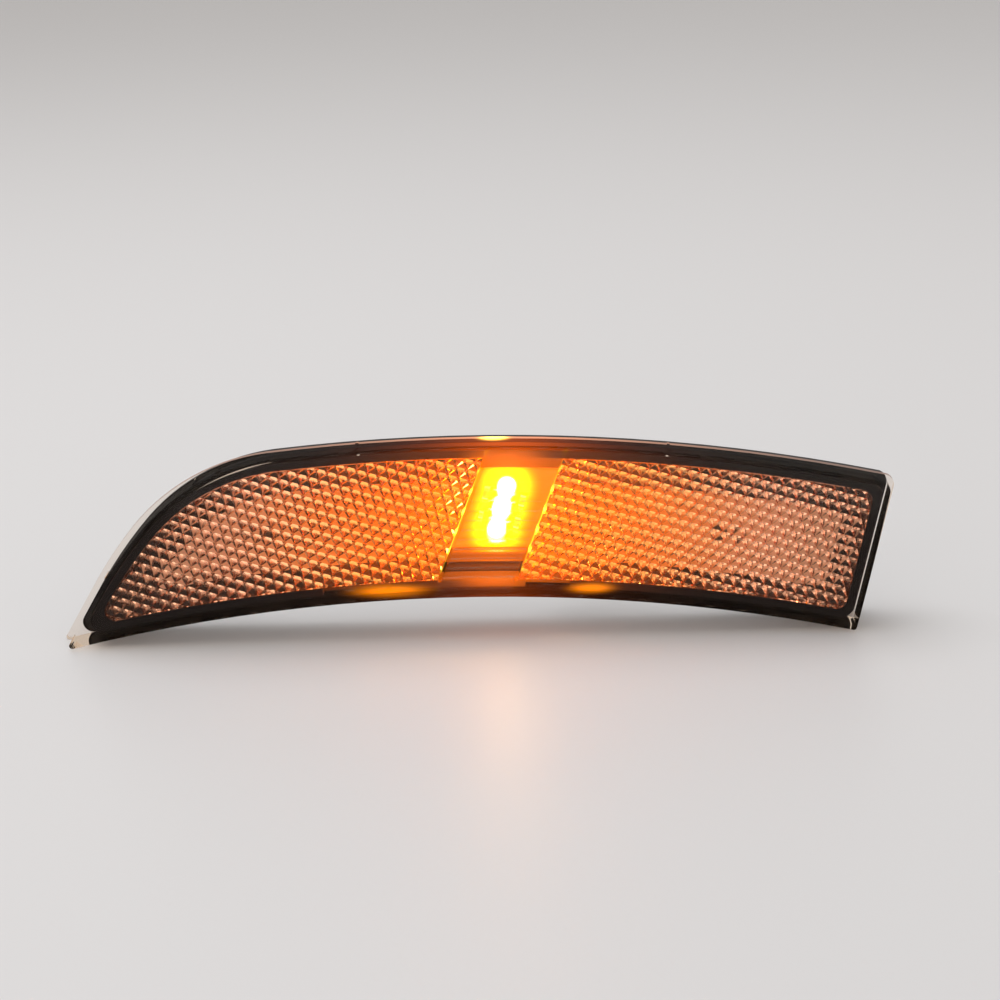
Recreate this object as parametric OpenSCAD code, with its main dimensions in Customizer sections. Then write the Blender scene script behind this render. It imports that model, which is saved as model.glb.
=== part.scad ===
// Car side marker lamp: a curved clear lens over two reflex panels and a white LED board,
// in a black tray with a two-pin socket behind. It faces -Y and is drawn lying on its back.

/* [Outline] */
// Radius of the lamp's long upper edge
arc_r = 554.4; // [400:1:900]
// Height of the lens wall, from the lower edge to the upper one
height = 44.4; // [38:0.2:52]
// How far the straight right end is from the middle, square to that end
end_reach = 118.9; // [105:0.5:135]
// Lean of the right end from upright
end_lean = 14; // [8:0.5:20]
// Radius of the long curve that closes the left end
tail_r = 139.5; // [125:0.5:150]
// Radius of the shoulder between the upper edge and the left end
shoulder_r = 60.5; // [40:0.5:75]
// Direction from that curve's centre to where the left end turns straight
tail_turn = 149.3; // [146:0.1:152]
// Rounding of the upper right corner
corner_r = 3; // [1.5:0.1:4]
// Rounding of the two sharp lower corners, at the tip and at the right
tip_r = 0.9; // [0.6:0.1:2]

/* [Lens] */
// Thickness of the lens's side walls
lens_wall = 1.7; // [1.4:0.1:2.4]
// Thickness of the lens's face
face_t = 2; // [1.4:0.1:2.6]
// Depth of the lens from the middle of its face to its foot
lens_depth = 14; // [12:0.2:20]
// Radius of the crowned face, seen in section
crown_r = 160; // [120:5:400]
// How far the crown's highest line lies below mid height
crown_drop = 8.2; // [0:0.2:12]
// How far the clear foot stands out past the wall at both ends
foot_w = 1.9; // [1:0.1:3]
// Thickness of the foot
foot_t = 2.2; // [1.6:0.1:3]

/* [Window] */
// Place of the window's middle along the lamp
window_x = 12; // [5:0.5:20]
// Width of the window, measured along the lamp
window_w = 23; // [18:0.5:30]
// Lean of the window's two sides from upright
window_lean = 21.8; // [10:0.2:28]
// Spacing of the flutes
flute_pitch = 2.8; // [2:0.1:4]
// Depth of a flute
flute_depth = 0.55; // [0.3:0.05:0.8]
// Thickness of the ribs beside the window
window_rib_t = 1; // [0.8:0.1:1.6]

/* [Reflex panels] */
// Spacing of the cells along a row
cell_pitch = 3.22; // [3.1:0.02:5]
// Spacing of the rows of cells
row_pitch = 2.98; // [2.8:0.02:4.5]
// Turn of the rows from level
cell_turn = -17.8; // [-60:0.1:60]
// How far the points of the cells that point up are set above their middle
cell_cant = 0.38; // [0:0.01:0.5]
// Thickness of a panel in front of its cells
panel_t = 1.2; // [0.8:0.1:2]
// Clearance round a panel
panel_fit = 0.2; // [0.1:0.05:0.4]

/* [Tray] */
// Thickness of the tray's wall inside the lens
tray_wall = 2.1; // [1.6:0.1:2.6]
// Clearance between the tray and the lens
tray_fit = 0.2; // [0.1:0.05:0.4]
// Thickness of the flange that the lens stands on
flange_t = 2; // [1.6:0.1:3]
// Depth of the tray behind the flange
tray_depth = 9; // [8:0.2:14]
// Thickness of the tray's floor
floor_t = 2; // [1.4:0.1:3]
// How far the tray steps in behind the flange
rear_step = 2.4; // [1.5:0.1:3]

/* [Socket and fixings] */
// Inner width of the connector socket
socket_w = 11.4; // [10:0.2:16]
// Inner height of the connector socket
socket_h = 7.4; // [6:0.2:9]
// Depth of the connector socket
socket_depth = 11; // [9:0.5:14]
// How far the terminals stay back from the socket's mouth
terminal_back = 4.8; // [4.5:0.1:5.5]
// Wall of the connector socket
socket_wall = 1.6; // [1.2:0.1:2.2]
// Spacing of the two terminals
terminal_pitch = 5; // [4:0.1:6]
// Diameter of the pilot holes for the fixing screws
pilot_d = 3.2; // [2.5:0.1:4]
// Depth of those holes
pilot_depth = 8; // [6:0.5:9]
// Angle about the arc's centre from the middle to each fixing boss
fixing_a = 8.6; // [7:0.1:9]
// Outer diameter of the fixing bosses
boss_d = 8; // [7:0.1:10]

/* [Board] */
// Height of the circuit board
board_h = 23.6; // [20:0.2:27]
// Thickness of the circuit board
board_t = 1.6; // [1:0.1:2]
// How far the board's front lies behind the flange's back
board_back = 1; // [0:0.1:2]
// Distance from the lens wall's outside to the board's left end
board_inset = 12; // [9:0.5:16]
// Distance from the lens wall's outside to the board's right end
board_end = 9.6; // [9:0.1:16]
// Rounding of the board's corners
board_corner = 3; // [1:0.1:4]
// Spacing of the three lamps on the board
led_pitch = 6.8; // [5:0.1:7.5]
// Lean of their row
led_lean = 15; // [0:0.5:24]
// Angle about the arc's centre from the board screws' middle to each screw
screw_a = 7.13; // [6:0.01:8]

/* [Hidden] */
$fn = 48;
arc_fn = 720;
blend = 0.01;
mid_r = arc_r - height / 2;
base_r = arc_r - height;
arc_centre = [0, -mid_r];
tail_centre = [12.5, -92.8];
end_out = [cos(end_lean), -sin(end_lean)];
end_along = [sin(end_lean), cos(end_lean)];
tail_out = [cos(tail_turn), sin(tail_turn)];
tail_along = [sin(tail_turn), -cos(tail_turn)];
sweep = 17;
span = 300;
lens_top = flange_t + lens_depth;
lens_inner_top = lens_top - face_t;
crown_line = mid_r - crown_drop;
panel_inset = lens_wall + tray_fit + tray_wall + panel_fit;
panel_front = inner_face_z(arc_r - panel_inset) - 0.25;
cell_depth = cell_pitch / sqrt(6);
panel_back = panel_front - panel_t - cell_depth;
tray_front = panel_front - 0.4;
board_front = -board_back;
board_rear = board_front - board_t;
floor_top = floor_t - tray_depth;
tray_inset = lens_wall + tray_fit;
cavity_inset = tray_inset + tray_wall;
board_edge = (height - board_h) / 2;
board_mid_a = 1.11;
board_screw_d = 2.6;
board_screw_reach = 6.4;
board_boss_r = 3.2;
screw_fit = 0.1;
socket_a = 3.6;
terminal_w = 1;
terminal_t = 0.6;
vent_a = -2.6;
vent_r = 4.4;
membrane_t = 0.35;
led_size = [3.5, 2.8, 1.9];
emitter_r = 1.2;
bead_edge = 0.35;
bead_t = 1;

function inner_face_z(r) = lens_inner_top - pow(r - crown_line, 2) / (2 * crown_r);

// A point at radius r about the arc's centre, a degrees clockwise from the top.
function polar(r, a) = [r * sin(a), r * cos(a) - mid_r];

// Where circles of radius ra about a and rb about b cross, on the left when going from a to b.
function crossing(a, ra, b, rb) =
    let (d = norm(b - a), u = (b - a) / d, t = (ra * ra - rb * rb + d * d) / (2 * d))
    a + u * t + [-u.y, u.x] * sqrt(ra * ra - t * t);

// The point at radius r about the arc's centre that is reach from the middle in the direction out.
// The direction along is square to out and leads up.
function on_line(r, out, along, reach) =
    let (m = reach - out * arc_centre)
    arc_centre + out * m + along * sqrt(r * r - m * m);

function toward(a, b) = (b - a) / norm(b - a);

// What a corner loses when it is rounded to radius r about c, between directions u and v.
// The round is a hair large, so that it crosses the sides and doesn't just graze them.
module corner_waste(c, r, u, v) {
    reach = 5 * r;
    difference() {
        polygon([c, c + u * reach, c + (u + v) * reach, c + v * reach]);
        translate(c) circle(r + blend, $fn = r > 20 ? arc_fn : $fn);
    }
}

// The lamp's outline seen from in front, moved in by inset, with its ends moved out by ends.
// The upper right corner is rounded to corner and the two lower ones to low_corner.
module outline(inset = 0, ends = 0, right = undef, corner = corner_r, low_corner = corner_r) {
    top = arc_r - inset;
    base = base_r + inset;
    tail = tail_r - inset + ends;
    tail_reach = tail_centre * tail_out + tail;
    reach = end_reach - inset + (is_undef(right) ? ends : right);
    shoulder = shoulder_r - inset + ends;
    shoulder_c = crossing(arc_centre, top - shoulder, tail_centre, tail - shoulder);
    tip_c = on_line(base + low_corner, tail_out, tail_along, tail_reach - low_corner);
    high_c = on_line(top - corner, end_out, end_along, reach - corner);
    low_c = on_line(base + low_corner, end_out, end_along, reach - low_corner);
    difference() {
        intersection() {
            translate(arc_centre) circle(top, $fn = arc_fn);
            translate(tail_centre) {
                circle(tail, $fn = arc_fn);
                rotate(tail_turn) square([tail - blend, tail / 3]);
                translate([0, -span / 2]) square(span);
            }
            rotate(-end_lean) translate([reach - span, -span / 2]) square(span);
        }
        translate(arc_centre) circle(base, $fn = arc_fn);
        corner_waste(shoulder_c, shoulder, toward(arc_centre, shoulder_c), toward(tail_centre, shoulder_c));
        corner_waste(tip_c, low_corner, toward(tip_c, arc_centre), tail_out);
        corner_waste(high_c, corner, toward(arc_centre, high_c), end_out);
        corner_waste(low_c, low_corner, toward(low_c, arc_centre), end_out);
    }
}

// The outline as a slab between two levels.
module slab(low, high, inset = 0, ends = 0, low_corner = corner_r) {
    translate([0, 0, low]) linear_extrude(high - low) outline(inset, ends, low_corner = low_corner);
}

// A profile of radius and level, swept along the lamp about the arc's centre.
module along_arc() {
    translate(arc_centre) rotate(90 - sweep) rotate_extrude(angle = 2 * sweep, $fn = arc_fn) children();
}

// Everything under a crowned face whose highest line is at top.
module under_crown(top) {
    along_arc() intersection() {
        translate([crown_line, top - crown_r]) circle(crown_r, $fn = arc_fn);
        translate([base_r - height, -height]) square([3 * height, 2 * height]);
    }
}

// The leaning window from in front, made wider by extra on each side.
module window_shape(extra = 0) {
    half = window_w / 2 + extra;
    rise = height;
    lean = rise * tan(window_lean);
    polygon([
        [window_x - half - lean, -rise],
        [window_x + half - lean, -rise],
        [window_x + half + lean, rise],
        [window_x - half + lean, rise]
    ]);
}

// One side of the window, from the line side * away along the lamp.
module beside_window(side, away) {
    translate([window_x, 0]) multmatrix([[1, tan(window_lean), 0, 0], [0, 1, 0, 0], [0, 0, 1, 0]])
        translate([side > 0 ? away : -span - away, -span / 2]) square(span);
}

// Round grooves along the window, cut into the back of the face.
module flutes() {
    flute_r = (flute_pitch * flute_pitch / 4 + flute_depth * flute_depth) / (2 * flute_depth);
    count = floor((height - 2 * panel_inset) / flute_pitch);
    intersection() {
        union() {
            for (i = [0:count - 1]) {
                r = mid_r + (i - (count - 1) / 2) * flute_pitch;
                along_arc() translate([r, inner_face_z(r) + flute_depth - flute_r]) circle(flute_r);
            }
        }
        linear_extrude(lens_top) window_shape(-window_rib_t);
    }
}

// Small ribs on the outside of the lens wall, which centre it in its opening. They start far inside
// the wall, also where the shoulder rounds it off, and the cavity trims them.
module centring_ribs() {
    rib_w = 0.8;
    rib_out = 0.4;
    root = 8;
    intersection() {
        slab(flange_t + 1, lens_top - 4, -rib_out, low_corner = tip_r);
        union() {
            for (a = [-7.2, -3, 6.3]) translate(arc_centre) rotate(90 - a)
                translate([arc_r - root, -rib_w / 2, 0]) cube([2 * root, rib_w, lens_top]);
            for (a = [130, 146]) translate(tail_centre) rotate(a)
                translate([tail_r - root, -rib_w / 2, 0]) cube([2 * root, rib_w, lens_top]);
        }
    }
}

module outer_lens() {
    color([0.93, 0.9, 0.87, 0.35]) difference() {
        union() {
            centring_ribs();
            intersection() {
                slab(flange_t, lens_top + 1, low_corner = tip_r);
                under_crown(lens_top);
            }
            slab(flange_t, flange_t + foot_t, 0, foot_w, tip_r);
        }
        difference() {
            intersection() {
                slab(flange_t - 1, lens_top, lens_wall);
                under_crown(lens_inner_top);
            }
            window_ribs();
        }
        flutes();
    }
}

// Two thin ribs behind the face, which part the window from the panels.
module window_ribs() {
    translate([0, 0, panel_back]) linear_extrude(lens_top - panel_back) intersection() {
        outline(panel_inset);
        difference() {
            window_shape();
            window_shape(-window_rib_t);
        }
    }
}

// The meeting point of the grooves at place i along row j.
function groove_point(i, j) =
    let (u = [cos(cell_turn), sin(cell_turn)])
    cell_pitch * (i + j / 2) * u + row_pitch * j * [-u.y, u.x];

// Whether a point lies within reach of a panel's outline, on one side of the window.
function near_panel(p, side, reach) =
    let (out = norm(p - arc_centre))
    out < arc_r - panel_inset + reach
    && out > base_r + panel_inset - reach
    && (p.x > tail_centre.x || norm(p - tail_centre) < tail_r - panel_inset + reach)
    && p * end_out < end_reach - panel_inset + reach
    && side * (p.x - window_x - p.y * tan(window_lean)) > window_w / 2 - reach;

// A sheet of corner-cube cells, as three sets of grooves leave them: on each triangle between the
// grooves, three facets meet in a point at the back. Triangles point up and down in turn. Those that
// point down throw light back. Those that point up have their points set high, which turns their
// lower facets square to the eye, so that they let the board behind show.
module cell_sheet(side) {
    reach = ceil(span / 2 / cell_pitch);
    wide = 2 * reach + 1;
    corners = [[[0, 0], [1, 0], [0, 1]], [[1, 0], [1, 1], [0, 1]]];
    outside = [[[0, -1, 1], [0, 0, 1], [-1, 0, 1]], [[1, 0, 0], [0, 1, 0], [0, 0, 0]]];
    function place(c, k) = [c.x, c.y] + corners[c.z][k];
    function kept(c) = max([for (k = [0:2]) let (q = place(c, k))
        near_panel(groove_point(q.x, q.y), side, cell_pitch * 0.7) ? 1 : 0]) > 0;
    function id(q, k) = ((q.x + reach) * wide + q.y + reach) * 4 + k;
    points = [for (i = [-reach:reach]) for (j = [-reach:reach])
        let (a = groove_point(i, j), b = groove_point(i + 1, j), c = groove_point(i, j + 1), d = b + c - a)
        let (up = (a + b + c) / 3, down = (b + d + c) / 3)
        each [
            [a.x, a.y, cell_depth],
            [a.x, a.y, cell_depth + panel_t],
            [up.x, up.y + cell_cant, 0],
            [down.x, down.y, 0]
        ]];
    cells = [for (i = [1 - reach:reach - 1]) for (j = [1 - reach:reach - 1]) for (k = [0, 1]) [i, j, k]];
    faces = [for (c = cells) if (kept(c))
        let (tip = id(c, 2 + c.z))
        each concat(
            [for (k = [0:2]) [tip, id(place(c, k), 0), id(place(c, (k + 1) % 3), 0)]],
            [[for (k = [2, 1, 0]) id(place(c, k), 1)]],
            [for (k = [0:2]) let (a = place(c, k), b = place(c, (k + 1) % 3), o = outside[c.z][k])
                if (!kept([c.x + o.x, c.y + o.y, o.z])) [id(a, 0), id(a, 1), id(b, 1), id(b, 0)]]
        )];
    translate([0, 0, panel_back]) polyhedron(points, faces, convexity = 6);
}

module reflex_panel(side) {
    color([0.95, 0.82, 0.72, 0.5]) intersection() {
        cell_sheet(side);
        linear_extrude(lens_top) intersection() {
            outline(panel_inset);
            beside_window(side, window_w / 2 + panel_fit);
        }
    }
}

module reflex_left() reflex_panel(-1);

module reflex_right() reflex_panel(1);

// Puts a piece upright at radius mid_r + out, a degrees clockwise along the lamp.
module at(a, out = 0) {
    translate(polar(mid_r + out, a)) rotate(-a) children();
}

// A rectangle with rounded corners about its middle.
module rounded_box(w, h, r) {
    square([w - 2 * r, h], center = true);
    square([w, h - 2 * r], center = true);
    for (x = [-1, 1], y = [-1, 1]) translate([x * (w / 2 - r), y * (h / 2 - r)]) circle(r);
}

// The groove in the flange for the sealing bead, under the foot of the lens wall.
module bead_ring() {
    difference() {
        slab(flange_t - bead_t, flange_t, bead_edge);
        slab(flange_t - bead_t - 1, flange_t + 1, lens_wall - bead_edge);
    }
}

// The socket's shell, with a latch nose on its upper side.
module socket_shell() {
    w = socket_w + 2 * socket_wall;
    h = socket_h + 2 * socket_wall;
    nose = 1.4;
    translate([0, 0, -socket_depth]) linear_extrude(socket_depth + 1) rounded_box(w, h, 1.5);
    translate([-2.5, h / 2, -socket_depth + 2.2]) rotate([90, 0, 90]) linear_extrude(5)
        polygon([[-0.5, -2], [0, -2], [nose, 0.6], [nose, 1.4], [-0.5, 1.4]]);
}

// A boss for a fixing screw from behind, with four gussets.
module fixing_boss() {
    rise = pilot_depth + 0.6;
    translate([0, 0, -rise]) cylinder(d = boss_d, h = rise + 1);
    for (k = [0:3]) rotate(45 + 90 * k) translate([0, 0.8, 0]) rotate([90, 0, 0]) linear_extrude(1.6)
        polygon([[0, 1], [boss_d, 1], [boss_d, 0], [boss_d / 2 - 0.5, -rise * 0.7], [0, -rise * 0.7]]);
}

// Shallow ribs over the back of the tray: two along it and a row across it.
module rear_ribs() {
    rib_w = 1.4;
    rib_h = 1.2;
    intersection() {
        union() {
            for (out = [-1, 1]) along_arc() translate([mid_r + out * height / 4 - rib_w / 2, -tray_depth - rib_h])
                square([rib_w, rib_h + 1]);
            for (a = [-10:3:13]) at(a) translate([-rib_w / 2, -height / 2, -tray_depth - rib_h])
                cube([rib_w, height, rib_h + 1]);
        }
        slab(-tray_depth - rib_h, 1 - tray_depth, rear_step + 3);
    }
}

// Blocks up the inside of the tray's long walls that the panels rest on.
module panel_rests() {
    reach = 1.8;
    intersection() {
        slab(floor_top - 1, panel_back, cavity_inset - 1);
        union() {
            for (a = [-8, -5, -2.4, 4.6, 8, 11.2]) for (s = [-1, 1]) at(a)
                translate([-1.2, s > 0 ? height / 2 - cavity_inset - reach : -height / 2, floor_top - 1])
                    cube([2.4, cavity_inset + reach, panel_back + tray_depth]);
        }
    }
}

// Posts and screw bosses that carry the board.
module board_rests() {
    post_r = 1.8;
    post_inset = 2.6;
    for (a = [-3, 5.2]) for (s = [-1, 1]) at(board_mid_a + a, s * (board_h / 2 - post_inset))
        translate([0, 0, floor_top - 1]) cylinder(r = post_r, h = board_rear - floor_top + 1);
    for (s = [-1, 1]) at(board_mid_a + s * screw_a)
        translate([0, 0, floor_top - 1]) cylinder(r = board_boss_r, h = board_rear - floor_top + 1);
}

// Openings in the tray's front wall where light reaches the lens's edge.
module light_slots() {
    slot_h = 4.5;
    deep = cavity_inset + 2;
    for (s = [[-3.4, 20, -1], [2.8, 13, -1], [1.3, 9, 1]]) at(s[0])
        translate([-s[1] / 2, s[2] > 0 ? height / 2 - deep : -height / 2, tray_front - slot_h])
            cube([s[1], deep, slot_h + 1]);
}

module housing() {
    color([0.09, 0.07, 0.07]) difference() {
        union() {
            difference() {
                union() {
                    slab(0, flange_t);
                    slab(0, tray_front, tray_inset);
                    slab(-tray_depth, 0, rear_step);
                }
                slab(floor_top, tray_front + 1, cavity_inset);
            }
            panel_rests();
            board_rests();
            rear_ribs();
            at(socket_a) translate([0, 0, -tray_depth]) socket_shell();
            for (s = [-1, 1]) at(s * fixing_a) translate([0, 0, -tray_depth]) fixing_boss();
            at(vent_a) translate([0, 0, -tray_depth - 1.2]) cylinder(r = vent_r + 1.4, h = 2);
        }
        bead_ring();
        light_slots();
        for (s = [-1, 1]) at(s * fixing_a)
            translate([0, 0, -tray_depth - pilot_depth - 1]) cylinder(d = pilot_d, h = pilot_depth + 1);
        for (s = [-1, 1]) at(board_mid_a + s * screw_a)
            translate([0, 0, board_rear - board_screw_reach + board_t]) cylinder(r = board_screw_d / 2 + screw_fit, h = 10);
        at(socket_a) translate([0, 0, -tray_depth - socket_depth - 1]) linear_extrude(socket_depth + 1) socket_bore();
        at(socket_a) terminals(0);
        at(socket_a) terminals(1);
        at(vent_a) translate([0, 0, -tray_depth - 2]) cylinder(r = vent_r + 0.1, h = 2 - 0.8);
        at(vent_a) translate([0, 0, -tray_depth - 2]) cylinder(r = 1.2, h = 8);
    }
}

// The inside of the socket, with a key slot beside the latch.
module socket_bore() {
    square([socket_w, socket_h], center = true);
    translate([socket_w / 4, socket_h / 2]) square([1.6, 1.2], center = true);
}

// One flat pin, from inside the socket, through the floor and the board.
module terminals(k) {
    bottom = -tray_depth - socket_depth + terminal_back;
    translate([(k - 0.5) * terminal_pitch - terminal_w / 2, -terminal_t / 2, bottom])
        cube([terminal_w, terminal_t, board_front + 0.9 - bottom]);
}

module sealing_bead() {
    color([0.15, 0.14, 0.14]) bead_ring();
}

module circuit_board() {
    color([0.93, 0.92, 0.88]) difference() {
        translate([0, 0, board_rear]) linear_extrude(board_t) outline(
            board_edge, board_edge - board_inset, board_edge - board_end, board_corner, board_corner
        );
        for (s = [-1, 1]) at(board_mid_a + s * screw_a)
            translate([0, 0, board_rear - 1]) cylinder(r = board_screw_d / 2 + 0.2, h = board_t + 2);
        at(socket_a) terminals(0);
        at(socket_a) terminals(1);
    }
}

// Puts a piece on the board, measured along and across the row of lamps.
module on_board(across, along) {
    translate([window_x, 0, board_front]) rotate(-led_lean) translate([across, along, 0]) children();
}

// The moulded frame of one lamp: a block with a round cup and one cut corner.
module led(k) {
    color([0.95, 0.93, 0.85]) on_board(0, k * led_pitch) difference() {
        translate([-led_size.x / 2, -led_size.y / 2, 0]) cube(led_size);
        translate([0, 0, led_size.z - 1]) cylinder(r = emitter_r, h = 2);
        translate([led_size.x / 2, led_size.y / 2, led_size.z - 0.6]) rotate(45) cube([1, 1, 2], center = true);
    }
}

// The tinted filling of the cup.
module emitter(k) {
    color([1, 0.72, 0.1]) on_board(0, k * led_pitch) translate([0, 0, led_size.z - 1]) cylinder(r = emitter_r, h = 0.95);
}

module led_upper() led(1);

module led_middle() led(0);

module led_lower() led(-1);

module emitter_upper() emitter(1);

module emitter_middle() emitter(0);

module emitter_lower() emitter(-1);

// A chip with a cap of metal over each end.
module chip(size, cap) {
    translate([-size.x / 2 + cap, -size.y / 2 + 0.05, 0]) cube([size.x - 2 * cap, size.y - 0.1, size.z - 0.05]);
    for (s = [-1, 1]) translate([s * (size.x - cap) / 2, 0, size.z / 2]) cube([cap, size.y, size.z], center = true);
}

module resistor_upper() {
    color([0.12, 0.12, 0.12]) on_board(5.4, led_pitch / 2) rotate(90) chip([3.2, 1.6, 0.6], 0.5);
}

module resistor_lower() {
    color([0.12, 0.12, 0.12]) on_board(5.4, -led_pitch / 2) rotate(90) chip([3.2, 1.6, 0.6], 0.5);
}

module diode() {
    color([0.1, 0.1, 0.1]) on_board(-5.4, led_pitch / 2) rotate(90) chip([3.7, 1.6, 1.1], 0.4);
}

module capacitor() {
    color([0.6, 0.5, 0.4]) on_board(-5.4, -led_pitch / 2) rotate(90) chip([2, 1.25, 1], 0.4);
}

module board_screw(side) {
    head_r = 2.4;
    head_h = 1.8;
    color([0.55, 0.55, 0.57]) at(board_mid_a + side * screw_a) translate([0, 0, board_front]) difference() {
        union() {
            translate([0, 0, -board_screw_reach + 0.3]) cylinder(d = board_screw_d, h = board_screw_reach);
            intersection() {
                cylinder(r = head_r, h = head_h);
                translate([0, 0, -2.4]) sphere(head_h + 2.4);
            }
        }
        for (k = [0, 90]) rotate(k) translate([0, 0, head_h]) cube([2.6, 0.6, 1.8], center = true);
    }
}

module board_screw_left() board_screw(-1);

module board_screw_right() board_screw(1);

module terminal_left() {
    color([0.85, 0.75, 0.45]) at(socket_a) terminals(0);
}

module terminal_right() {
    color([0.85, 0.75, 0.45]) at(socket_a) terminals(1);
}

// A cone of solder round a pin on the board.
module solder(k) {
    color([0.75, 0.76, 0.78]) at(socket_a) difference() {
        translate([(k - 0.5) * terminal_pitch, 0, board_front]) cylinder(r1 = 1.1, r2 = 0.65, h = 0.7);
        terminals(k);
    }
}

module solder_left() solder(0);

module solder_right() solder(1);

module vent_membrane() {
    color([0.85, 0.85, 0.84]) at(vent_a) translate([0, 0, -tray_depth - 0.8 - membrane_t]) cylinder(r = vent_r, h = membrane_t);
}

// Stands a piece up so that its face looks toward -Y.
module stand() {
    rotate([90, 0, 0]) children();
}

stand() outer_lens();
stand() reflex_left();
stand() reflex_right();
stand() housing();
stand() sealing_bead();
stand() circuit_board();
stand() led_upper();
stand() led_middle();
stand() led_lower();
stand() emitter_upper();
stand() emitter_middle();
stand() emitter_lower();
stand() resistor_upper();
stand() resistor_lower();
stand() diode();
stand() capacitor();
stand() board_screw_left();
stand() board_screw_right();
stand() terminal_left();
stand() terminal_right();
stand() solder_left();
stand() solder_right();
stand() vent_membrane();
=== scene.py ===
# %% [markdown]
# This lesson dresses a car's side marker lamp: a clear moulded lens over two panels of corner-cube
# cells, a fluted window between them, and a white board with three lit amber lamps. Nothing on the
# real lamp is soft or loose, and its CAD solids already have the right shapes, so no new pieces are
# modelled here. The work is in the materials: clear plastic, black plastic, and light inside both.

# %% Load the frame
import math
import bmesh
import bpy
from mathutils import Matrix, Vector


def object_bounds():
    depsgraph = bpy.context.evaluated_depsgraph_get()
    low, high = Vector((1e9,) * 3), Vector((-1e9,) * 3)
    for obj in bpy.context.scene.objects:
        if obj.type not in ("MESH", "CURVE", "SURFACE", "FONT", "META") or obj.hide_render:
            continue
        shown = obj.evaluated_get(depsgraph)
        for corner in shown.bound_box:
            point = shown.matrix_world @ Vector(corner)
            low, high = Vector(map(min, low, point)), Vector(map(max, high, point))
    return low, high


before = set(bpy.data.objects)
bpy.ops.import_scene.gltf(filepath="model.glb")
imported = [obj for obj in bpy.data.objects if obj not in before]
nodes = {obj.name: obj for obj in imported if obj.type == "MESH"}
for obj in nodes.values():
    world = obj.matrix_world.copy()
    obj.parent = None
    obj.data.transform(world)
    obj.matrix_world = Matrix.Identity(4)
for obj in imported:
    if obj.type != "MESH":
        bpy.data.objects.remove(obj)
cad_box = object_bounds()
MM = 0.001
print("nodes:", len(nodes))

# %% [markdown]
# Colours are written as the hex values a paint program shows. Blender's shaders work in linear
# light, so one function turns each value to that. A second one adds a shader node. Its inputs can
# be numbers, colours, sockets or other nodes, so a material reads as a list of what feeds what.

# %% Helpers for colours and nodes


def tint(code):
    """An sRGB hex colour as linear red, green and blue with a full alpha."""
    parts = [int(code[i:i + 2], 16) / 255 for i in (0, 2, 4)]
    linear = [c / 12.92 if c <= 0.04045 else ((c + 0.055) / 1.055) ** 2.4 for c in parts]
    return linear + [1.0]


def add(tree, kind, inputs=(), **settings):
    """Add a node. Inputs go in by order or by name; a node given as one feeds its first output."""
    node = tree.nodes.new("ShaderNode" + kind)
    for name, value in settings.items():
        setattr(node, name, value)
    pairs = inputs.items() if isinstance(inputs, dict) else enumerate(inputs)
    for key, value in pairs:
        if isinstance(value, bpy.types.Node):
            value = value.outputs[0]
        if isinstance(value, bpy.types.NodeSocket):
            tree.links.new(value, node.inputs[key])
        else:
            node.inputs[key].default_value = value
    return node


def blank(name):
    """A new material and its empty node tree."""
    material = bpy.data.materials.new(name)
    material.use_nodes = True
    material.node_tree.nodes.clear()
    return material, material.node_tree


def dress(material, shader, *names):
    """Finish a material with its shader and put it on every slot of the named nodes."""
    add(material.node_tree, "OutputMaterial", {"Surface": shader})
    for name in names:
        for slot in nodes[name].material_slots:
            slot.material = material
    print(material.name, "on", ", ".join(names) or "the stage")


print("the grey 808080 is", round(tint("808080")[0], 3), "of white in linear light")

# %% [markdown]
# The lamp is lit, so amber light from three small lamps in a leaning row is in every clear and
# white piece near them. Path tracing could find that light through the plastic, but only with far
# more samples than a lesson has. The glow is worked out from the distance to the nearest lamp
# instead. A camera sees the glare of neighbouring lamps run together, so that distance is made
# shorter between two of them.

# %% How far a point is from the lamps
ROW_X = 12.0
ROW_LEAN = math.radians(15)
LED_PITCH = 6.8
RUN_TOGETHER = 0.35


def millimetres(tree, x=0.0, z=0.0, lean=0.0):
    """Across, depth and height in millimetres from the point x, z, turned with a leaning row."""
    placing = {
        "Vector": add(tree, "TexCoord").outputs["Object"],
        "Location": (x * MM, 0, z * MM), "Rotation": (0, lean, 0), "Scale": (MM, MM, MM),
    }
    return add(tree, "SeparateXYZ", [add(tree, "Mapping", placing, vector_type="TEXTURE")]).outputs


def led_distance(tree):
    """Millimetres to the nearest lamp, as seen from in front."""
    across, _, along = millimetres(tree, ROW_X, 0, ROW_LEAN)
    steps = add(tree, "Math", [along, LED_PITCH], operation="DIVIDE")
    nearest = add(tree, "Clamp", [add(tree, "Math", [steps], operation="ROUND"), -1, 1])
    off = add(tree, "Math", [steps, nearest], operation="SUBTRACT")
    off = add(tree, "Math", [off, LED_PITCH], operation="MULTIPLY")
    between = add(tree, "Math", [steps, 0, 1], operation="COMPARE")
    squeeze = add(tree, "Math", [between, -RUN_TOGETHER, 1], operation="MULTIPLY_ADD")
    off = add(tree, "Math", [off, squeeze], operation="MULTIPLY")
    square = add(tree, "Math", [across, across], operation="MULTIPLY")
    square = add(tree, "Math", [off, off, square], operation="MULTIPLY_ADD")
    return add(tree, "Math", [square], operation="SQRT")


print("lamps at x", ROW_X, "mm, pitch", LED_PITCH, "mm")

# %% [markdown]
# The glow's strength is a sum of terms that fall off over their own reach. Its colour changes too:
# a sensor that gets too much amber light shows yellow, and then white. So the cores are white, the
# glare round them is yellow, and the light farther out is orange and then peach. A colour ramp over
# the distance draws all of that, and it looks the same from every side.

# %% How strong the glow is, and its colour
GLOW_SPAN = 100.0
GLOW = [
    (2.3, "ffe1aa"), (2.8, "ffa200"), (7.2, "ff9e00"), (10.0, "ff7c00"), (55.0, "ff8b30"),
    (98.0, "ffc4a2"),
]


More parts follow.
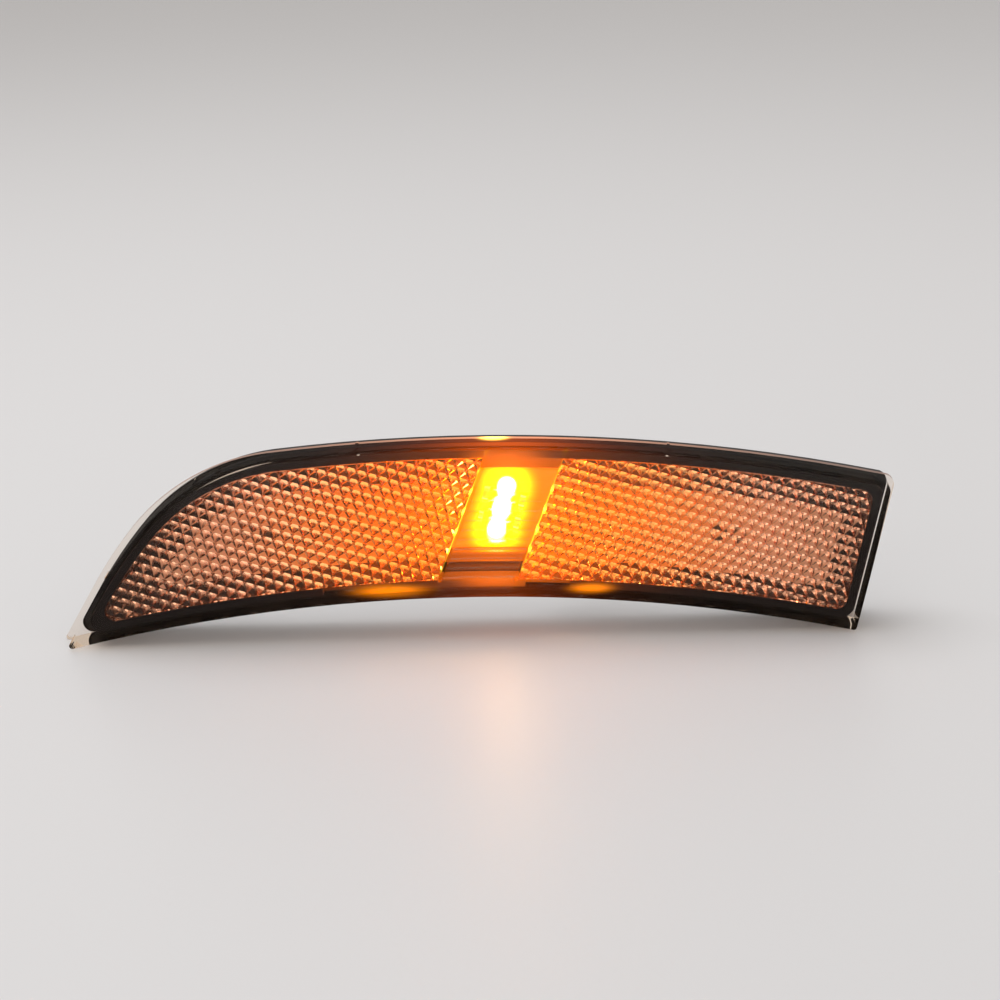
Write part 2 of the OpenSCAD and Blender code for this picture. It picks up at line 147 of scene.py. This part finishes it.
def falloff(tree, distance, terms):
    """The sum of height * exp(-(distance / reach) ** power) over the terms."""
    total = 0.0
    for height, reach, power in terms:
        share = add(tree, "Math", [distance, reach], operation="DIVIDE")
        steep = add(tree, "Math", [share, power], operation="POWER")
        fade = add(tree, "Math", [steep, -1], operation="MULTIPLY")
        fade = add(tree, "Math", [fade], operation="EXPONENT")
        total = add(tree, "Math", [fade, height, total], operation="MULTIPLY_ADD")
    return total


def glow_colour(tree, distance):
    """The colour a camera sees at this distance from a lamp."""
    node = add(tree, "ValToRGB", [add(tree, "Math", [distance, GLOW_SPAN], operation="DIVIDE")])
    stops = node.color_ramp.elements
    for reach, code in GLOW:
        stops.new(reach / GLOW_SPAN).color = tint(code)
    stops[0].color = tint(GLOW[0][1])
    stops[-1].color = tint(GLOW[-1][1])
    return node


print("glow stops at", [reach for reach, _ in GLOW], "mm")

# %% [markdown]
# Clear polycarbonate, injection moulded and glossy. One glass shader all over is the obvious way,
# but glass stops shadow rays, so what lies behind it would be lit only by a few noisy paths. The
# lens is split by what the eye sees instead. Through the face it looks straight in, so the face is
# thin clear plastic: light passes straight through, and a Fresnel term adds the gloss. Inside the
# side walls light is caught by total reflection and runs back to the black flange, which is why a
# clear wall looks nearly black from in front, so a ray that meets a wall from inside meets glass,
# with an index a little under polycarbonate's own 1.58. In the window the flutes bend part of the
# light up and down, so a share of the window is glass too.

# %% The outer lens: clear where light goes through, glass where it is caught
WINDOW_X = 12.0
WINDOW_HALF = 11.5
WINDOW_MARGIN = 0.5
WINDOW_LEAN = math.radians(21.8)
FACE_FROM = -13.4
WALL_FACING = 0.5
WALL_INDEX = 1.49
SHEEN = 0.1
FLUTE_SHARE = 0.18

clear_pc, tree = blank("polycarbonate_clear_moulded")
sheen = add(tree, "Math", [add(tree, "Fresnel", {"IOR": 1.5}), SHEEN], operation="MULTIPLY")
through = add(tree, "BsdfTransparent", {"Color": tint("fbf7f3")})
gloss = add(tree, "BsdfGlossy", {"Color": tint("ffffff"), "Roughness": 0.04})
thin = add(tree, "MixShader", [sheen, through, gloss])
solid = add(tree, "BsdfGlass", {"Color": tint("fff4e8"), "IOR": WALL_INDEX, "Roughness": 0.0})

# facing is the normal's share along the depth: near 0 on a wall and near -1 on the front
facing = add(tree, "SeparateXYZ", [add(tree, "TexCoord").outputs["Normal"]]).outputs[1]
on_wall = add(tree, "Math", [facing, 0, WALL_FACING], operation="COMPARE")
backs = add(tree, "NewGeometry").outputs["Backfacing"]
from_inside = add(tree, "Math", [on_wall, backs], operation="MULTIPLY")
across, depth, up = millimetres(tree, WINDOW_X)
slant = add(tree, "Math", [up, -math.tan(WINDOW_LEAN), across], operation="MULTIPLY_ADD")
slant = add(tree, "Math", [slant], operation="ABSOLUTE")
in_window = add(tree, "Math", [slant, WINDOW_HALF - WINDOW_MARGIN], operation="LESS_THAN")
in_face = add(tree, "Math", [depth, FACE_FROM], operation="LESS_THAN")
fluted = add(tree, "Math", [in_window, in_face], operation="MULTIPLY")
fluted = add(tree, "Math", [fluted, FLUTE_SHARE], operation="MULTIPLY")
bending = add(tree, "Math", [fluted, from_inside], operation="MAXIMUM")
shadow_ray = add(tree, "LightPath").outputs["Is Shadow Ray"]
other_ray = add(tree, "Math", [1, shadow_ray], operation="SUBTRACT")
bending = add(tree, "Math", [bending, other_ray], operation="MULTIPLY")
lens = add(tree, "MixShader", [bending, thin, solid])
print("window leans", round(math.degrees(WINDOW_LEAN), 1), "degrees over", 2 * WINDOW_HALF, "mm")

# %% [markdown]
# At its foot the lens is welded to the tray. Along the top a thin pale line shows, warmer where it
# is near the lamps. Here it is a painted highlight: a pale, rough band over the foot, with painted
# amber light that is stronger near the lamps. Modelling a rough strip would change the CAD solid,
# so the band is a second finish on the lens's own surface.

# %% The pale band at the foot: a painted highlight with painted amber light
FOOT_FROM = -4.2
PAINTED_BAND_SHARE = 0.75
PAINTED_BAND_LIGHT = [(1.1, 34, 1)]

away = led_distance(tree)
# this finish paints the bright line along the top as a pale, rough band, a painted highlight, with
# painted amber light near the lamps
painted_band = add(
    tree, "BsdfPrincipled",
    {
        "Base Color": tint("8f7a72"), "Roughness": 0.6,
        "Emission Color": tint("ff9c55"), "Emission Strength": falloff(tree, away, PAINTED_BAND_LIGHT),
    },
)
fronts = add(tree, "Math", [1, backs], operation="SUBTRACT")
from_outside = add(tree, "Math", [on_wall, fronts], operation="MULTIPLY")
at_foot = add(tree, "Math", [depth, FOOT_FROM], operation="GREATER_THAN")
band = add(tree, "Math", [from_outside, at_foot], operation="MULTIPLY")
band = add(tree, "Math", [band, PAINTED_BAND_SHARE], operation="MULTIPLY")
lens = add(tree, "MixShader", [band, lens, painted_band])
# the printed band is the painted highlight band
print("painted highlight band over the", -FOOT_FROM, "mm in front of the flange's back")

# %% [markdown]
# Amber light stays caught in the clear plastic. It fills the top wall over the lamps and shows one
# hot spot there, and it leaves the tray's light slots as two soft ovals below the panels. Lamps put
# inside the shell would make that light by themselves, but a short render would find it only as
# scattered bright dots. Emission that is masked by where a point lies gives it an even look.

# %% Light in the top wall, and its hot spot
WALL_LIGHT = [(1.7, 9.2, 1)]
TOP_SHARE = 0.8
SPOT_X, SPOT_DEPTH = 10.5, -3.2
SPOT_HALF_WIDTH, SPOT_HALF_DEPTH = 4.0, 3.2
SPOT_LIGHT = [(4.5, 0.8, 1.5)]


def oval(tree, width, height, half_width, half_height):
    """The square of how far out a point lies in an oval: 0 in its middle and 1 on its edge."""
    width = add(tree, "Math", [width, half_width], operation="DIVIDE")
    height = add(tree, "Math", [height, half_height], operation="DIVIDE")
    square = add(tree, "Math", [height, height], operation="MULTIPLY")
    return add(tree, "Math", [width, width, square], operation="MULTIPLY_ADD")


on_top = add(tree, "Math", [up, 0], operation="GREATER_THAN")
side = add(tree, "Math", [on_top, TOP_SHARE, 1 - TOP_SHARE], operation="MULTIPLY_ADD")
wall_light = falloff(tree, away, WALL_LIGHT)
for mask in (on_wall, side):
    wall_light = add(tree, "Math", [wall_light, mask], operation="MULTIPLY")

spot_width = millimetres(tree, SPOT_X)[0]
spot_depth = add(tree, "Math", [depth, SPOT_DEPTH], operation="SUBTRACT")
spot = oval(tree, spot_width, spot_depth, SPOT_HALF_WIDTH, SPOT_HALF_DEPTH)
spot_light = falloff(tree, spot, SPOT_LIGHT)
for mask in (on_top, from_outside):
    spot_light = add(tree, "Math", [spot_light, mask], operation="MULTIPLY")
print("hot spot at x", SPOT_X, "mm")

# %% The two ovals under the panels
SLOTS = [(37.6, -20.6, 5.8, 1.3), (-20.5, -20.0, 9.6, 1.6)]
SLOT_LIGHT = [(0.62, 1.0, 1.5)]

slot_light = 0.0
for x, z, half_width, half_height in SLOTS:
    width, _, height = millimetres(tree, x, z)
    ring = oval(tree, width, height, half_width, half_height)
    one_slot = falloff(tree, ring, SLOT_LIGHT)
    slot_light = add(tree, "Math", [slot_light, one_slot], operation="ADD")
front_skin = add(tree, "Math", [facing, -WALL_FACING], operation="LESS_THAN")
for mask in (front_skin, in_face):
    slot_light = add(tree, "Math", [slot_light, mask], operation="MULTIPLY")
print("ovals at x", [slot[0] for slot in SLOTS], "mm")

# %% [markdown]
# The two ribs beside the window catch light along their edges, as a thin bright line with a row of
# glints. Beads in the mesh would change the CAD solid. A sine along the height, raised to a high
# power, makes the glints instead. Each strip is given by its middle, counted from the window's
# middle line, and half its width. The rib's depths are given by their middle and half their span.

# %% The glints on the window's ribs, and the finished lens
GLINT_PITCH = 5.8
GLINT_POWER = 12
GLINT_LIGHT = 5.0
GLINT_STRIP = (WINDOW_HALF - 0.1, 0.7)
LINE_LIGHT = 1.1
LINE_STRIP = (WINDOW_HALF + 0.05, 0.12)
RIB_DEPTHS = (-12.25, 1.75)
RIB_MIDDLE = 1.0
RIB_RUN = [(1.0, 11.5, 3)]

wave = add(tree, "Math", [up, math.pi / GLINT_PITCH], operation="MULTIPLY")
wave = add(tree, "Math", [wave], operation="SINE")
wave = add(tree, "Math", [wave], operation="ABSOLUTE")
glints = add(tree, "Math", [wave, GLINT_POWER], operation="POWER")
glints = add(tree, "Math", [glints, GLINT_LIGHT], operation="MULTIPLY")
on_rib = add(tree, "Math", [slant, *GLINT_STRIP], operation="COMPARE")
glints = add(tree, "Math", [glints, on_rib], operation="MULTIPLY")
on_line = add(tree, "Math", [slant, *LINE_STRIP], operation="COMPARE")
rib_light = add(tree, "Math", [on_line, LINE_LIGHT, glints], operation="MULTIPLY_ADD")
from_middle = add(tree, "Math", [up, RIB_MIDDLE], operation="SUBTRACT")
from_middle = add(tree, "Math", [from_middle], operation="ABSOLUTE")
behind_face = add(tree, "Math", [depth, *RIB_DEPTHS], operation="COMPARE")
for mask in (falloff(tree, from_middle, RIB_RUN), behind_face):
    rib_light = add(tree, "Math", [rib_light, mask], operation="MULTIPLY")

CAUGHT = [
    ("ff6500", wall_light), ("ffce30", rib_light), ("ffc450", spot_light), ("ff8600", slot_light),
]
for code, strength in CAUGHT:
    shine = add(tree, "Emission", {"Color": tint(code), "Strength": strength})
    lens = add(tree, "AddShader", [lens, shine])
dress(clear_pc, lens, "outer_lens")

# %% [markdown]
# The reflex panels are clear acrylic, moulded so precisely that the cells' facets act as mirrors.
# Triangles painted on a flat plate would look right from one side only, so the cells are in the
# solids, and the material is real refracting plastic: total reflection makes the cells that point
# down bright, and those that point up show what lies behind. A warm tint stands for the amber light
# in them. Acrylic's index of 1.49 turned back too much light and hid the board. The indices below
# were matched to the photograph, one for each panel, because their rows of cells lean
# opposite ways.

# %% The reflex panels
PANEL_INDEX = {"reflex_left": 1.33, "reflex_right": 1.36}
PANEL_LIGHT = [(0.1, 24, 1)]
WARM_TO, COOL_FROM = 12.0, 80.0

for panel, index in PANEL_INDEX.items():
    acrylic, tree = blank("acrylic_moulded_" + panel)
    away = led_distance(tree)
    cooling = add(
        tree, "MapRange", {"Value": away, "From Min": WARM_TO, "From Max": COOL_FROM},
        interpolation_type="SMOOTHSTEP",
    )
    tone = add(tree, "ValToRGB", [cooling])
    tone.color_ramp.elements[0].color = tint("ffe8c0")
    tone.color_ramp.elements[1].color = tint("fdf0e8")
    glass = add(tree, "BsdfGlass", {"Color": tone, "IOR": index, "Roughness": 0.0})
    strength = falloff(tree, away, PANEL_LIGHT)
    glow = add(tree, "Emission", {"Color": tint("ff9c27"), "Strength": strength})
    dress(acrylic, add(tree, "AddShader", [glass, glow]), panel)

# %% [markdown]
# The tray is black ABS from a mould with a spark-eroded grain, which gives the eye a soft, even
# black. Its gloss is low, so that it stays black behind the clear lens. Faces for such a grain
# would run to millions, so a noise in the bump draws it, coarser than the real tenth of a
# millimetre, which would be too fine to show. The tray's inner walls and its rim catch amber light
# near the window, and its back, which no light reaches, catches none.

# %% The tray
CAVITY_RADIUS = 532.2
CAVITY_HALF = 17.9
FLOOR_Y = 7.4
LENS_SEAT_Y = -2.2
RIM_Y = -10.6
LIT_REACH = 55
INNER_LIGHT = [(1.6, 14, 1), (0.16, 50, 1)]
RIM_LIGHT = [(1.0, 15, 6), (0.27, 31, 2)]
GRAIN = 0.4545
GRAIN_DEPTH = 0.05
GRAIN_SHARE = 0.12

black_abs, tree = blank("abs_black_moulded")
coords = add(tree, "TexCoord").outputs["Object"]
grain = add(tree, "TexNoise", {"Vector": coords, "Scale": 1 / (GRAIN * MM), "Detail": 2.0})
bump = add(
    tree, "Bump", {"Height": grain, "Strength": GRAIN_SHARE, "Distance": GRAIN_DEPTH * MM}
)

# the hollow is a curved trough: its middle line is an arc about the centre of the lamp's curve
x, depth, z = millimetres(tree, 0, -CAVITY_RADIUS)
radius = add(tree, "Math", [z, z], operation="MULTIPLY")
radius = add(tree, "Math", [x, x, radius], operation="MULTIPLY_ADD")
radius = add(tree, "Math", [radius], operation="SQRT")
away = led_distance(tree)
hollow = add(tree, "Math", [radius, CAVITY_RADIUS, CAVITY_HALF], operation="COMPARE")
over_floor = add(tree, "Math", [depth, FLOOR_Y], operation="LESS_THAN")
near_lamps = add(tree, "Math", [away, LIT_REACH], operation="LESS_THAN")
for mask in (over_floor, near_lamps):
    hollow = add(tree, "Math", [hollow, mask], operation="MULTIPLY")
before_seat = add(tree, "Math", [depth, LENS_SEAT_Y], operation="LESS_THAN")
under_lens = add(tree, "Math", [before_seat, hollow], operation="MAXIMUM")
at_rim = add(tree, "Math", [depth, RIM_Y], operation="LESS_THAN")
inner = falloff(tree, away, INNER_LIGHT)
change = add(tree, "Math", [falloff(tree, away, RIM_LIGHT), inner], operation="SUBTRACT")
light = add(tree, "Math", [change, at_rim, inner], operation="MULTIPLY_ADD")
light = add(tree, "Math", [light, under_lens], operation="MULTIPLY")
shader = add(
    tree, "BsdfPrincipled",
    {
        "Base Color": tint("0d0403"), "Roughness": 0.42, "Specular IOR Level": 0.15,
        "Normal": bump, "Emission Color": tint("ff7300"), "Emission Strength": light,
    },
)
dress(black_abs, shader, "housing")

# %% [markdown]
# The board is woven glass fibre under printed white solder mask, a soft even white that throws the
# amber light forward. The lamps are so bright that a camera sees three white cores in one yellow
# glow, so the board and the lamps' frames share one falloff. The mask's own colour is white, but
# its base colour is painted amber near the lamps and nearly white far off, as painted light. Left
# alone, that change would be a clean ring. A noise about two threads of the glass cloth wide breaks
# it up.

# %% The board
CORE = [(12.0, 2.7, 6), (3.6, 7.2, 5), (1.42, 49.0, 1.6), (0.13, 400.0, 1)]
CLOTH = 1.111
CLOTH_SHIFT = 8
AMBER_TO, WHITE_FROM = 10.0, 100.0

white_mask, tree = blank("solder_mask_white_printed")
away = led_distance(tree)
coords = add(tree, "TexCoord").outputs["Object"]
cloth = add(tree, "TexNoise", {"Vector": coords, "Scale": 1 / (CLOTH * MM), "Detail": 3.0})
uneven = add(tree, "Math", [cloth, CLOTH_SHIFT, away], operation="MULTIPLY_ADD")
fading = add(
    tree, "MapRange", {"Value": uneven, "From Min": AMBER_TO, "From Max": WHITE_FROM},
    interpolation_type="SMOOTHSTEP",
)
# painted light: the base colour is amber near the lamps and the mask's own near-white far off
painted_light_tone = add(tree, "ValToRGB", [fading])
painted_light_tone.color_ramp.elements[0].color = tint("b4560a")
painted_light_tone.color_ramp.elements[1].color = tint("fbeadd")
shader = add(
    tree, "BsdfPrincipled",
    {
        "Base Color": painted_light_tone, "Roughness": 0.5, "Specular IOR Level": 0.15,
        "Emission Color": glow_colour(tree, away), "Emission Strength": falloff(tree, away, CORE),
    },
)
dress(white_mask, shader, "circuit_board")

# %% [markdown]
# The three surface-mount lamps are frames of moulded white nylon, satin to the eye, each round a
# filling of cast amber silicone that is lit. A light object could sit in each frame, but the glow
# round the lamps is drawn already, so the filling only has to be the brightest thing on the board.

# %% The lamps' frames and fillings
FILLING_LIGHT = 14.0

white_nylon, tree = blank("nylon_white_moulded")
away = led_distance(tree)
# the frames' base colour is painted amber-tan, as painted light from the lamps; the nylon itself is
# white
shader = add(
    tree, "BsdfPrincipled",
    {
        "Base Color": tint("e0b070"), "Roughness": 0.5,
        "Emission Color": glow_colour(tree, away), "Emission Strength": falloff(tree, away, CORE),
    },
)
dress(white_nylon, shader, "led_upper", "led_middle", "led_lower")

lit_silicone, tree = blank("silicone_amber_cast")
shader = add(
    tree, "BsdfPrincipled",
    {
        "Base Color": tint("ff9a20"), "Roughness": 0.3,
        "Emission Color": tint("ffe7bc"), "Emission Strength": FILLING_LIGHT,
    },
)
dress(lit_silicone, shader, "emitter_upper", "emitter_middle", "emitter_lower")

# %% [markdown]
# A chip is a small block with a cap of tinned metal over each end. A resistor's fired film and a
# diode's moulded epoxy look dark and satin, and a capacitor's fired ceramic looks tan. Caps of
# their own would be more pieces for parts a few millimetres long, so a mask along the row of lamps
# paints them. Here the chips sit in the glare, so they take most of the board's glow and nearly
# vanish in it.

# %% The chips beside the lamps
CHIP_GLARE = 0.72


def chip(name, piece, colour, centre, half, cap):
    """A chip whose caps begin half - cap from its centre, measured along the row of lamps."""
    material, tree = blank(name)
    away = led_distance(tree)
    along = millimetres(tree, ROW_X, 0, ROW_LEAN)[2]
    between_caps = add(tree, "Math", [along, centre, half - cap], operation="COMPARE")
    strength = add(tree, "Math", [falloff(tree, away, CORE), CHIP_GLARE], operation="MULTIPLY")
    glare = {"Emission Color": glow_colour(tree, away), "Emission Strength": strength}
    body = {"Base Color": tint(colour), "Roughness": 0.45, **glare}
    metal = {"Base Color": tint("c9cacc"), "Roughness": 0.3, "Metallic": 1.0, **glare}
    body, metal = (add(tree, "BsdfPrincipled", finish) for finish in (body, metal))
    dress(material, add(tree, "MixShader", [between_caps, metal, body]), piece)


chip("thick_film_fired_upper", "resistor_upper", "6a3a18", 3.4, 1.6, 0.5)
chip("thick_film_fired_lower", "resistor_lower", "6a3a18", -3.4, 1.6, 0.5)
chip("epoxy_moulded", "diode", "60351a", 3.4, 1.85, 0.4)
chip("ceramic_fired", "capacitor", "a06a38", -3.4, 1.0, 0.4)

# %% [markdown]
# The small parts. Butyl sealant is laid as a bead and looks dull black. Zinc-plated screws are grey
# with a soft shine, and are darker here, because the photograph shows them only as dark spots under
# the cells. Stamped brass and flowed solder are bright, and the pressed membrane is a matt white.
# Handling, plating and pressing never leave a surface perfectly even, so a soft mottle in the
# roughness, two thirds of a millimetre wide, varies the gloss of each.

# %% Small parts
MOTTLE = 0.6667
MOTTLE_SPREAD = 0.2


def plain(name, colour, roughness, metallic, *pieces):
    """A finish of one colour whose gloss varies a little from place to place."""
    material, tree = blank(name)
    coords = add(tree, "TexCoord").outputs["Object"]
    mottle = add(tree, "TexNoise", {"Vector": coords, "Scale": 1 / (MOTTLE * MM)})
    low, high = roughness * (1 - MOTTLE_SPREAD), roughness * (1 + MOTTLE_SPREAD)
    uneven = add(tree, "MapRange", {"Value": mottle, "To Min": low, "To Max": high})
    finish = {"Base Color": tint(colour), "Metallic": metallic, "Roughness": uneven}
    dress(material, add(tree, "BsdfPrincipled", finish), *pieces)


plain("butyl_black_laid", "141313", 0.7, 0.0, "sealing_bead")
# the screws' grey is darker than zinc plating's own: painted shade
plain("steel_zinc_plated", "5f554c", 0.4, 1.0, "board_screw_left", "board_screw_right")
plain("brass_stamped", "c9a860", 0.3, 1.0, "terminal_left", "terminal_right")
plain("solder_tin_flowed", "c4c6c8", 0.25, 1.0, "solder_left", "solder_right")
plain("ptfe_membrane_pressed", "e6e6e2", 0.6, 0.0, "vent_membrane")

# %% [markdown]
# The stage is a plain floor of pressed laminate, pale with a faint soft reflection.

# %% Floor
FLOOR_HALF = 3.0

floor_mesh = bpy.data.meshes.new("floor")
work = bmesh.new()
under = Matrix.Translation((0, 0, cad_box[0][2]))
bmesh.ops.create_grid(work, x_segments=1, y_segments=1, size=FLOOR_HALF, matrix=under)
work.to_mesh(floor_mesh)
work.free()
floor = bpy.data.objects.new("floor", floor_mesh)
bpy.context.scene.collection.objects.link(floor)
laminate, tree = blank("laminate_pale_pressed")
dress(laminate, add(tree, "BsdfPrincipled", {"Base Color": tint("d6d6d8"), "Roughness": 0.45}))
floor_mesh.materials.append(laminate)

# %% [markdown]
# One soft light stands in front, because reflex cells send light back to where it comes from and
# are bright only if it comes from near the camera. A second hangs above, and a pale world fills
# the shadows.

# %% World and lights
WORLD_STRENGTH = 0.6

world = bpy.data.worlds.new("studio")
bpy.context.scene.world = world
world.use_nodes = True
background = world.node_tree.nodes["Background"].inputs
background["Color"].default_value = tint("fffaf5")
background["Strength"].default_value = WORLD_STRENGTH


def softbox(name, place, aim, size, power):
    """A rectangular studio light that stands at place and shines towards aim."""
    light = bpy.data.lights.new(name, "AREA")
    light.shape = "RECTANGLE"
    light.size, light.size_y = size
    light.energy = power
    lamp = bpy.data.objects.new(name, light)
    bpy.context.scene.collection.objects.link(lamp)
    lamp.location = place
    lamp.rotation_euler = (Vector(aim) - Vector(place)).to_track_quat("-Z", "Y").to_euler()
    print(name, "softbox,", power, "W")


softbox("front", (-0.05, -1.6, 0.45), (0.01, 0, 0), (1.5, 1.0), 5.6)
softbox("top", (-0.3, 0.3, 1.3), (0, 0, 0), (1.2, 1.2), 11)

# %% [markdown]
# The camera stands where the photograph was taken from: almost square on, fifteen degrees above
# the lamp, 0.9 m away, with the picture turned two degrees. These came from fitting the lamp's
# outline. The focal length is given in sensor widths, which the picture's size doesn't change.

# %% Camera
AZIMUTH, ELEVATION, ROLL = (math.radians(angle) for angle in (-1.91, 14.91, 1.93))
AIM = Vector((11.65, 0, 2.5)) * MM
STAND_OFF = 0.9
SENSOR = 36
FOCAL_WIDTHS = 3.0854

camera = bpy.data.objects.new("camera", bpy.data.cameras.new("camera"))
bpy.context.scene.collection.objects.link(camera)
ahead = Vector((
    math.sin(AZIMUTH) * math.cos(ELEVATION), math.cos(AZIMUTH) * math.cos(ELEVATION),
    -math.sin(ELEVATION),
))
camera.location = AIM - ahead * STAND_OFF
level = ahead.to_track_quat("-Z", "Y").to_matrix()
camera.rotation_euler = (level @ Matrix.Rotation(-ROLL, 3, "Z")).to_euler()
camera.data.sensor_width = SENSOR
camera.data.lens = SENSOR * FOCAL_WIDTHS
camera.data.clip_start = 0.01
bpy.context.scene.camera = camera
bpy.context.scene.view_settings.view_transform = "Standard"
print("camera", round(math.degrees(ELEVATION), 1), "degrees above the lamp")

# %% [markdown]
# Light in a corner-cube cell is turned back by several total reflections, so each path gets more
# bounces than usual before it is dropped. With the usual number, parts of the cells go black.

# %% Bounces
BOUNCES = 24

paths = bpy.context.scene.cycles
paths.max_bounces = BOUNCES
paths.glossy_bounces = BOUNCES
paths.transmission_bounces = BOUNCES
print("bounces:", BOUNCES)
